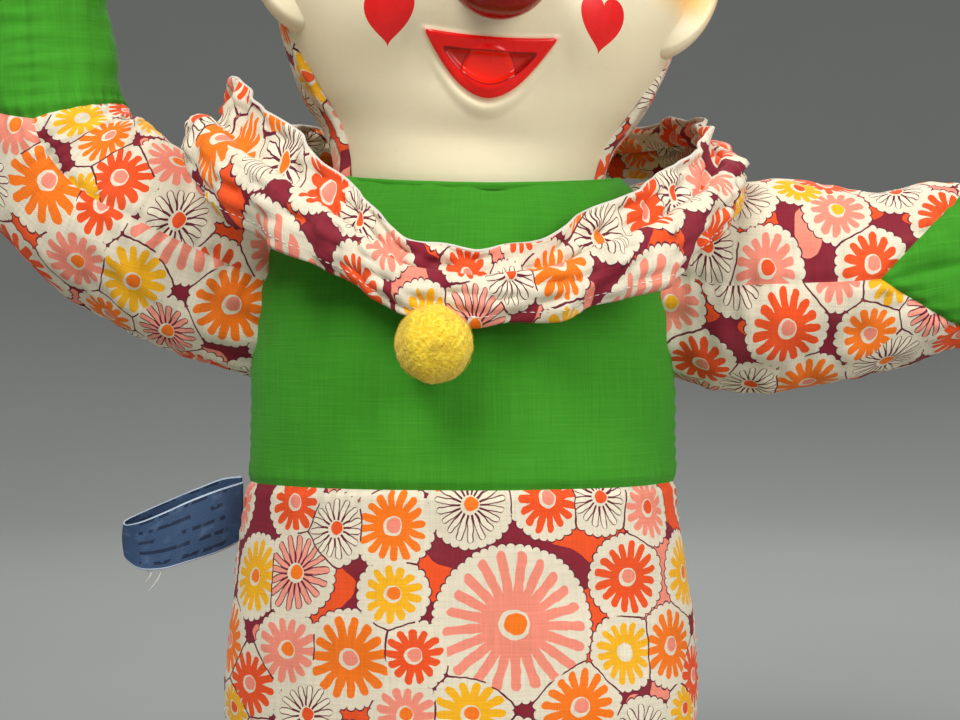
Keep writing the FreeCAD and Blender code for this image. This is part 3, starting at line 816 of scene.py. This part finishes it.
# %% Bumps and hollows of the face
def bell(x, z, x0, z0, wide, tall):
    """1 at the feature's middle, fading with distance measured in its half width and half height."""
    return np.exp(-((x - x0) / wide) ** 2 - ((z - z0) / tall) ** 2)


def twin(x, z, x0, z0, wide, tall):
    """The same bell at both sides of the face."""
    return bell(x, z, x0, z0, wide, tall) + bell(x, z, -x0, z0, wide, tall)


def lips(x, z):
    """Distance inside the mouth: a top that sags a little, a rounded bottom, a smooth least of both."""
    top = MOUTH_TOP + MOUTH_SAG * x ** 2 - z
    bottom = (z - MOUTH_FOOT - 19.5 * (np.abs(x) / MOUTH_HALF) ** MOUTH_POWER) * 0.72
    near = np.maximum(3.0 - np.abs(top - bottom), 0) / 3.0
    return np.minimum(top, bottom) - near ** 3 * 0.5


def face_relief(x, z):
    """How far the skin stands out of the plain oval."""
    into = lips(x, z)
    lip = 2.1 * eased(into, -1.5, 1.2)
    opening = -2.0 * eased(np.minimum(into, MOUTH_TOP + MOUTH_SAG * x ** 2 - z - 1.4), 3.0, 4.4)
    on_tongue = 1 - (x / TONGUE_HALF) ** 2 - ((z - TONGUE_HEIGHT) / TONGUE_TALL) ** 2
    tongue = 0.9 * eased(on_tongue, 0, 0.35)
    shelf = 0.9 * eased(-into, 0.5, 2.0) * (1 - eased(-into, 2.2, 5.2)) * (1 - eased(z, 22, 31))
    chin = 2.6 * bell(x, z, 0, 15, 19, 9) - 0.7 * bell(x, z, 0, 4.5, 34, 5)
    side_lines = -0.6 * twin(x, z, 24.5, 33, 3.4, 7)
    cheeks = 3.4 * twin(x, z, 33, 43, 16, 14)
    muzzle = 2.0 * bell(x, z, 0, 41, 22, 11)
    brow = 1.8 * twin(x, z, EYE_BESIDE, 96, 17, 6)
    eyes = -2.6 * twin(x, z, EYE_BESIDE, 80, 13, 10) + 1.5 * twin(x, z, EYE_BESIDE, 80, 8, 7)
    ear_root = 6.0 * twin(x, z, 60, 56, 8, 19)
    return lip + opening + tongue + shelf + chin + side_lines + cheeks + muzzle + brow + eyes + ear_root


def hood_edge(height):
    """Bearing at which the hood begins: straight down the sides, closing in an arch over the forehead."""
    half_x, half_y, middle = np.moveaxis(through(HEAD_RINGS, height), -1, 0)
    side = np.arccos(np.clip((20 + middle) / half_y, -1, 1))
    return side * np.sqrt(np.clip(1 - (np.maximum(height - 66, 0) / 44) ** 2, 0, 1))


# %% [markdown]
# A moulded face is painted after moulding, by spraying through stencils, so colour and relief must
# meet exactly. The shader therefore uses the same formulas as the relief: the cloth coordinates of the
# face are its width and height in the head's own frame, and each stencil is an inequality in them.

# %% Vinyl finish with its painted features
def painted_vinyl():
    """Cream vinyl; mouth, hearts, eyes and brows are sprayed through stencils, so their edges are crisp. The
    darker red line at the step into the mouth and round the tongue's foot is painted shade, and the eye glint
    a painted highlight.
    """
    finish = Finish("face_vinyl")
    flat = finish.cloth_place(scale=(1000, 1000, 1))
    x, z, _ = flat.split()
    wide = abs(x)
    squared = x * x

    def oval(x0, z0, half_wide, half_tall):
        """1 inside an oval at both sides of the face."""
        across, up = (wide - x0) / half_wide, (z - z0) / half_tall
        return across * across + up * up < 1

    top = MOUTH_TOP - z + squared * MOUTH_SAG
    bottom = (z - MOUTH_FOOT - (wide / MOUTH_HALF).math("POWER", MOUTH_POWER) * 19.5) * 0.72
    into = top.math("SMOOTH_MIN", bottom, 3.0)
    mouth = into > 0
    deep = (top - 1.4).math("SMOOTH_MIN", bottom, 3.0)
    inside = deep > 3.2
    # rim: a darker red band along the step down into the mouth's opening, painted shade at the recess edge.
    rim = (deep > 2.8) * (deep < 3.4)
    up_tongue = z - TONGUE_HEIGHT
    tongue_at = squared * (1 / TONGUE_HALF ** 2) + up_tongue * up_tongue * (1 / TONGUE_TALL ** 2)
    tongue = (tongue_at < 1) * (z < 31) * inside
    # A darker red line round the foot of the raised tongue: painted shade in the crease.
    tongue_shade_line = abs(tongue_at - 1) < 0.07
    side = x > 0
    heart_x = (wide - 31.6 - side * 3.0) / 8.2
    heart_z = (z - 40.0 - side * 2.6) / 9.0
    lobes = heart_z * 1.12 - abs(heart_x).root() * 0.72 + 0.20
    heart = heart_x * heart_x + lobes * lobes < 0.86
    eye, pupil = oval(EYE_BESIDE, 80, 7.0, 9.0), oval(EYE_BESIDE, 78, 4.2, 5.6)
    # glint: a white spot in each eye, a painted highlight.
    glint = oval(20.4, 80.6, 1.3, 1.5)
    from_eye = wide - EYE_BESIDE
    arch = z - 99 + from_eye * from_eye * 0.035
    brow = (abs(arch) < 1.4) * (abs(from_eye) < 11)
    flush = 1 - ((wide - 66) * (wide - 66) + (z - 66) * (z - 66)).root().soft(7.0, 21.0)

    spray = finish.noise(flat, 0.35, 2.0)
    skin = finish.mix(tone(238, 224, 188), tone(230, 206, 164), spray.soft(0.5, 0.9) * 0.3)
    skin = finish.mix(skin, tone(238, 176, 74), flush * 0.85)
    skin = finish.mix(skin, tone(224, 84, 60), (into.soft(-1.6, 0.4)) * 0.5)
    red = finish.mix(tone(246, 18, 4), tone(226, 8, 2), spray)
    heart_red = finish.mix(tone(240, 32, 28), tone(220, 14, 18), spray)
    colour = finish.mix(skin, red, mouth)
    # The rim and the line round the tongue take darker reds: painted shade.
    for paint, where in ((tone(206, 40, 26), inside), (tone(160, 10, 8), rim), (tone(240, 34, 14), tongue),
                         (tone(180, 16, 12), inside * tongue_shade_line), (heart_red, heart),
                         (tone(246, 242, 232), eye), (tone(28, 26, 32), pupil),
                         (tone(250, 250, 250), glint), (tone(50, 30, 24), brow)):
        colour = finish.mix(colour, paint, where)
    mottle = finish.noise(flat, 0.045, 3.0)
    grain = finish.noise(flat, 0.6, 2.0)
    rough = 0.36 + mottle * 0.10 - mouth * 0.14
    return finish.finished(colour, rough, grain * 0.2 + mottle, 0.0005, 0.2,
                           Subsurface_Weight=0.08, Subsurface_Radius=(0.004, 0.0022, 0.0012),
                           Subsurface_Scale=1.0, Specular_IOR_Level=0.4)


face_vinyl = painted_vinyl()

# %% Face and neck
heights = np.concatenate([np.linspace(-31.5, 0, 26), np.linspace(0.7, 50, 92),
                          np.linspace(50.8, 113, 70)])[:, None]
share = np.linspace(-1, 1, 261)[None, :]
edge = np.minimum(hood_edge(heights) + 0.05, 2.0)
edge = np.where(heights > 108, np.maximum(edge, 0.15), edge)
bearing = share * np.maximum(edge, 0.15)
plain = head_point(bearing, heights)
relief = face_relief(plain[..., 0], plain[..., 2]) * eased(np.cos(bearing), 0.0, 0.35)
tuck = -1.6 * eased(heights, 100, 112)
skin = head_point(bearing, heights, relief + tuck)
face = sew("face", [patch(placed(skin), plain[..., [0, 2]])], "head", face_vinyl)


# %% [markdown]
# Each ear belongs to the same moulding. It is one profile carried round an oval: out over the back,
# round the rim and into the bowl, with the lower end drawn narrower. A bell fills the bowl's middle.

# %% Ears
EAR_PROFILE = [
    (0, -8, 0.60), (1, -15, 0.86), (2, -22, 1.0), (3, -28, 0.99), (4, -31.4, 0.91), (5, -32.6, 0.80),
    (6, -33.2, 0.66), (7, -33.6, 0.48), (8, -33.8, 0.26), (9, -33.9, 0.0),
]


def ear(side):
    """An oval lobe carried round its rim: back, rim, then the bowl; its lower end is narrower."""
    step = np.linspace(0, 9, 64)[:, None]
    turn = np.linspace(0, 2 * np.pi, 97)[None, :]
    depth, size = np.moveaxis(through(EAR_PROFILE, step + 0 * turn), -1, 0)
    narrow = 1 + 0.12 * np.sin(turn) - 0.05 * np.cos(2 * turn)
    low = np.maximum(-np.sin(turn), 0) ** 2
    x = side * (62.5 - 4.5 * low * size + 18.0 * size * narrow * np.cos(turn))
    z = 62.5 + 25.0 * size * np.sin(turn)
    bowl = 7.0 * bell(x, z, side * 69, 66, 8.5, 13) - 1.0 * bell(x, z, side * 64, 62, 3, 6)
    y = depth + bowl * eased(step, 3.2, 5)
    points = np.stack([x, y + 0 * x, z + 0 * x], -1)
    return patch(placed(points), points[..., [0, 2]])


sew("ears", [ear(-1), ear(1)], "head", face_vinyl)
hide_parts("face_mask")

# %% [markdown]
# The hood is the back of the head: print over stuffing, in two halves with a seam down the middle. It
# follows the same ovals as the face, a little further out, and its rim is thinned and then rounded,
# as cloth is that is turned in against the vinyl. The last row is a point, which closes the crown.

# %% Hood
rows = np.concatenate([np.linspace(-31, 110, 150), np.linspace(111, 141.9, 40), [142.6]])[:, None]
hood_patches = []
for side in (-1, 1):
    share = np.linspace(0, 1, 150)[None, :] ** 1.15
    start = hood_edge(rows)
    bearing = start + (np.pi - start) * share
    half_x, half_y, _ = np.moveaxis(through(HEAD_RINGS, rows), -1, 0)
    from_edge = (bearing - start) * (half_x + half_y) / 2
    out = 1.9 - 1.7 * np.exp(-(from_edge / 1.1) ** 2) * (rows < 112)
    out = out + 0.8 * np.exp(-((from_edge - 3) / 2.0) ** 2) * (rows < 110)
    out = out + seam(np.abs(bearing - np.pi) * 60, rows, 1.2, 0.3) + 0.5 * folds(bearing * 60, rows, 34, 77)
    out = out + 0.3 * folds(bearing * 60, rows, 9, 78) * np.exp(-(from_edge / 14) ** 2)
    points = head_point(side * bearing, rows, out)
    points[-1, :, :2] = [0, 0]
    flat = np.stack([side * bearing * 66 + 15 * side, rows + 0 * bearing], -1)
    hood_patches.append(patch(placed(points), flat))
hood = sew("hood", hood_patches, "head", hood_print)
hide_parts("hood_right", "hood_left", "head_stuffing")

# %% [markdown]
# The nose is a ball of polished plastic. A ball from Blender's menu would do, but a grid of two angles
# lets its depth differ from its width, and adds the faint ridge where the two halves of the mould met.

# %% Nose
step = np.linspace(0, np.pi, 49)[:, None]
turn = np.linspace(0, 2 * np.pi, 97)[None, :]
ball = np.stack([17.0 * np.sin(step) * np.cos(turn), -74 - 16.8 * np.cos(step) + 0 * turn,
                 55 + 16.6 * np.sin(step) * np.sin(turn)], -1)
ridge = 1 + 0.006 * np.exp(-((step - np.pi / 2) / 0.03) ** 2)
ball[..., 0] *= ridge
nose = sew("clown_nose", [patch(placed(ball), np.zeros(2))], "head", nose_red)
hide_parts("nose")

# %% [markdown]
# The collar is a long strip of print, folded double and gathered on a cord, so it stands in a ring
# round the neck: low at the front, up over the shoulders, with tall folds at the sides. Its line is a
# smooth closed curve through a few places round the neck. Across it runs one profile: bottom edge,
# outer face, crest, and a fold that turns back. Uneven waves, larger at the edges, make the gathers.

# %% The collar's places and its profile
COLLAR = [
    (0, 89, 254, 11), (16, 86, 259, 10), (40, 82, 260, 9), (65, 78, 259, 9), (90, 76, 258, 9),
    (120, 78, 259, 9), (150, 82, 260, 9.5), (178, 84, 260, 11), (190, 88, 259, 13.5), (202, 89, 257, 18.5),
    (213, 83, 244, 18.5), (223, 77, 236, 17), (234, 69, 225, 14.5), (247, 63.5, 213, 12),
    (258, 62, 207.5, 12), (272, 61.5, 205.5, 12.2), (287, 63.5, 206, 12.4), (300, 69, 210, 13.5),
    (310, 76, 216, 15), (322, 83, 224, 15.4), (333, 89, 233, 14), (346, 91, 245, 13),
]
PROFILE = [
    (0, 2.4, -1.00), (1, 3.9, -0.74), (2, 4.8, -0.42), (3, 4.8, -0.08), (4, 3.5, 0.20), (5, 0.8, 0.27),
    (6, -1.8, 0.10), (7, -3.6, 0.30), (8, -5.0, 0.70), (9, -4.9, 1.00),
]

# %% The collar's line, gathers and cloth
wrapped = [(b + whole_turn, r, z, h) for whole_turn in (-360, 0, 360) for b, r, z, h in COLLAR]
degrees = np.linspace(0, 360, 901)[:, None]
bearing = np.radians(degrees)
radius, height, half = np.moveaxis(through(wrapped, degrees), -1, 0)
course = np.concatenate([radius * np.cos(bearing), radius * np.sin(bearing), height], -1)
length = np.concatenate([[0], np.cumsum(np.linalg.norm(np.diff(course, axis=0), axis=1))])[:, None]
whole = float(length[-1, 0])
place = np.linspace(0, 9, 40)[None, :]
outward, upward = np.moveaxis(through(PROFILE, place), -1, 0)
beat = 2 * np.pi * length / whole
swing = (0.9 * np.sin(13 * beat + 1.3 * np.sin(5 * beat)) + 0.8 * np.sin(21 * beat + 2 * np.sin(3 * beat) + 1)
         + 0.35 * np.sin(34 * beat + 1.1 * np.sin(7 * beat)))
loose = 0.25 + 0.85 * np.abs(upward - 0.27) ** 1.2
radial = radius + outward * half / 11 + 1.25 * swing * loose
radial = radial + 0.55 * np.sin(71 * beat + 2 * np.sin(4 * beat)) * np.exp(-((upward - 0.2) / 0.4) ** 2)
creases = folds(length, upward * 26, 13, 61, 7)
radial = radial + 0.9 * np.sign(creases) * np.abs(creases) ** 1.5
dips = 0.8 * np.sin(17 * beat + 1.7 * np.sin(4 * beat)) * (0.4 + 0.6 * np.abs(upward))
lift = height + upward * half + dips
swirl = bearing + 0.010 * np.sin(19 * beat + 2.2 * np.sin(6 * beat)) * (upward - 0.3)
collar_points = np.stack([radial * np.cos(swirl), radial * np.sin(swirl), lift], -1)
across = np.concatenate([[0], np.cumsum(np.hypot(np.diff(outward[0]), np.diff(upward[0] * 11)))])
collar_flat = np.stack([length * 1.35 + 0 * across, across + 0 * length], -1)
collar = sew("collar", [patch(collar_points, collar_flat)], "torso", collar_print)
double = collar.modifiers.new("double", "SOLIDIFY")
double.thickness, double.offset = 0.0013, 0.0
area = sum(face.area for face in collar.data.polygons)
print("collar: line", round(whole), "mm, one layer", round(area * 1e4), "cm2")
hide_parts("ruffle", "ruffle_cord")

# %% The collar's stitches and rolled edge
surface_out = np.stack([np.cos(swirl), np.sin(swirl), 0 * swirl], -1)
HEM_ROW, TOP_ROW = 4, 39
stitched("collar_hem_stitches", collar_points[:, HEM_ROW] + surface_out[:, HEM_ROW] * 0.75,
         surface_out[:, HEM_ROW], "torso", white_thread, 1.7, 0.9, 0.25, 0.17)
ring = np.linspace(0, 2 * np.pi, 11)[None, :]
edge_line = collar_points[:, TOP_ROW][:, None]
edge_out = surface_out[:, TOP_ROW][:, None]
roll_over = edge_line + edge_out * (np.cos(ring) * 0.65 - 0.1)[..., None] \
    + np.array([0, 0, 1.0]) * (np.sin(ring) * 0.65)[..., None]
sew("collar_rolled_edge", [patch(roll_over, np.stack([length + 0 * ring, ring + 0 * length], -1))],
    "torso", lining)

# %% [markdown]
# The pom-pom is felted wool wound into a ball: not quite round, dented, with short fibres that lie
# close to it. The ball is a turned grid whose radius wavers. The fibres are a few hundred thin bent
# threads that start on the ball at seeded places and run beside its surface.

# %% Pom-pom
POMPOM = np.array([-8.2, -66.5, 187.0])
tilt = np.linspace(0, np.pi, 90)[:, None]
turn = np.linspace(0, 2 * np.pi, 181)[None, :]
direction = np.stack([np.sin(tilt) * np.cos(turn), np.sin(tilt) * np.sin(turn), np.cos(tilt) + 0 * turn], -1)
a, b, c = np.moveaxis(direction, -1, 0)
size = 12.4 + 0.30 * folds(a * 10 + c * 4, b * 10 + c * 5, 9, 91)
size = size + 0.12 * folds(a * 10 - c * 7, b * 10 + c * 6, 2.4, 92, 9)
wool = sew("pompom_wool", [patch(POMPOM + direction * size[..., None], np.zeros(2))], "pompom_swinging",
           yellow_felt)
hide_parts("pompom")
random = np.random.default_rng(5)
FIBRES = 620
way = random.normal(size=(FIBRES, 3))
way /= np.linalg.norm(way, axis=1, keepdims=True)
drift = np.cross(way, random.normal(size=(FIBRES, 3)))
drift /= np.linalg.norm(drift, axis=1, keepdims=True)
root = POMPOM + way * 12.3
fibre_end = root + drift * random.uniform(1.2, 3.0, (FIBRES, 1)) - way * 0.25
sew("pompom_fibres", tubes(root, fibre_end, 0.45, 0.04, way, 3, 6),
    "pompom_swinging", yellow_felt, merge=0.0002)

# %% [markdown]
# The care label is a folded ribbon caught in the side seam. It leaves the seam as a loop, droops and
# twists a little, and shows the inside of its rear half above the front half. The ribbon is a path in
# plan with an upright width, and both change along it. Bars stand for the washing instructions.

# %% Care label
LABEL_PATH = [
    (0, -76.5, -1.2, 139.5, 119.0), (8, -84, -4.6, 137.2, 115.5), (18, -94, -8.2, 133.4, 112.4),
    (28, -104, -9.0, 128.9, 109.8), (37, -112.5, -7.0, 125.6, 110.2), (43, -117.6, -2.0, 124.6, 113.4),
    (48, -118.4, 3.2, 125.6, 116.6), (55, -112, 7.2, 128.8, 118.2), (64, -103, 7.4, 132.8, 120.0),
    (74, -93, 5.4, 137.0, 121.4), (84, -83.4, 2.6, 140.6, 121.6), (91, -77, 0.4, 141.4, 121.4),
]
RIBBON = 91
along = np.linspace(0, RIBBON, 150)[:, None]
wide = np.linspace(0, 1, 30)[None, :]
x, y, top, bottom = np.moveaxis(through(LABEL_PATH, along), -1, 0)
curl = 1.1 * np.sin(wide * np.pi) * np.sin(along / RIBBON * 3.1 * np.pi)
lean = (wide - 0.5) * 3.0 * np.sin(along / RIBBON * 2 * np.pi)
label = np.stack([x + 0.7 * curl + 0 * wide, y - curl + lean, bottom + (top - bottom) * wide], -1)
label_flat = np.stack([along % (RIBBON / 2) + 0 * wide, wide * 21.2 + 0 * along], -1)
label_cloth = sew("label_ribbon", [patch(label, label_flat)], "label", blue_ribbon)
thick = label_cloth.modifiers.new("thick", "SOLIDIFY")
thick.thickness, thick.offset = 0.0004, 0.0
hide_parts("care_label")
ends = np.array([[-103.5, -9.2, 109.8], [-107, -8.8, 110.2], [-111, -7.6, 110.6]])
hang = np.array([[-4.6, -1, -7.5], [-2.4, -0.6, -5], [3.4, -0.8, -3.6]])
sew("label_loose_threads", tubes(ends, ends + hang, 1.1, 0.17, np.tile([0.8, -0.5, 0.2], (3, 1)), 6, 12),
    "label", white_thread, merge=0.0002)

# %% [markdown]
# What is left of the CAD model already has its right shape: the card tube for the finger with its cap,
# the washer of the nose, the cloth cap under the neck and the pom-pom's stitch. All of it is hidden or
# very small. Those nodes stay and only get a finish.

# %% Finishes for the nodes that stay
STAY = {"finger_tube": brown_card, "tube_cap": brown_card, "nose_washer": washer_white,
        "neck_cap": lining, "pompom_stitch": white_thread}
for name, material in STAY.items():
    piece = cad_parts[name]
    if not piece.data.materials:
        piece.data.materials.append(material)
    for place in piece.material_slots:
        place.material = material
    print(name, "gets", material.name)

# %% [markdown]
# Light as in a small studio: one broad soft light above and to the left, a weaker one to the right, one
# behind for the other views, and an even pale surround. The paper is matt and almost without colour.

# %% Paper finish and lights
paper_finish = Finish("pale_paper")
grain = paper_finish.noise(paper_finish.object_place(), 3.0, 2.0)
paper.data.materials.append(paper_finish.finished(
    paper_finish.mix(tone(142, 144, 141), tone(148, 150, 147), grain), 0.9, grain, 0.0005, 0.2))


def softbox(name, place, target, size, power):
    """A square area light that looks at a target."""
    data = bpy.data.lights.new(name, "AREA")
    data.shape, data.size, data.energy = "SQUARE", size, power
    lamp = bpy.data.objects.new(name, data)
    lamp.location = place
    aim = np.array(target) - np.array(place)
    flat = math.hypot(aim[0], aim[1])
    lamp.rotation_euler = (math.atan2(flat, -aim[2]), 0, math.atan2(-aim[0], aim[1]))
    bpy.context.collection.objects.link(lamp)


CHEST = (0, 0, 0.2)
softbox("key", (-0.55, -1.0, 1.35), CHEST, 0.7, 22)
softbox("fill", (0.95, -0.9, 0.75), CHEST, 0.8, 14)
softbox("back", (0.2, 1.3, 1.2), CHEST, 1.0, 13)
world = bpy.data.worlds.new("studio")
world.use_nodes = True
background = world.node_tree.nodes["Background"].inputs
background["Color"].default_value = (1, 1, 1, 1)
background["Strength"].default_value = 0.32
bpy.context.scene.world = world
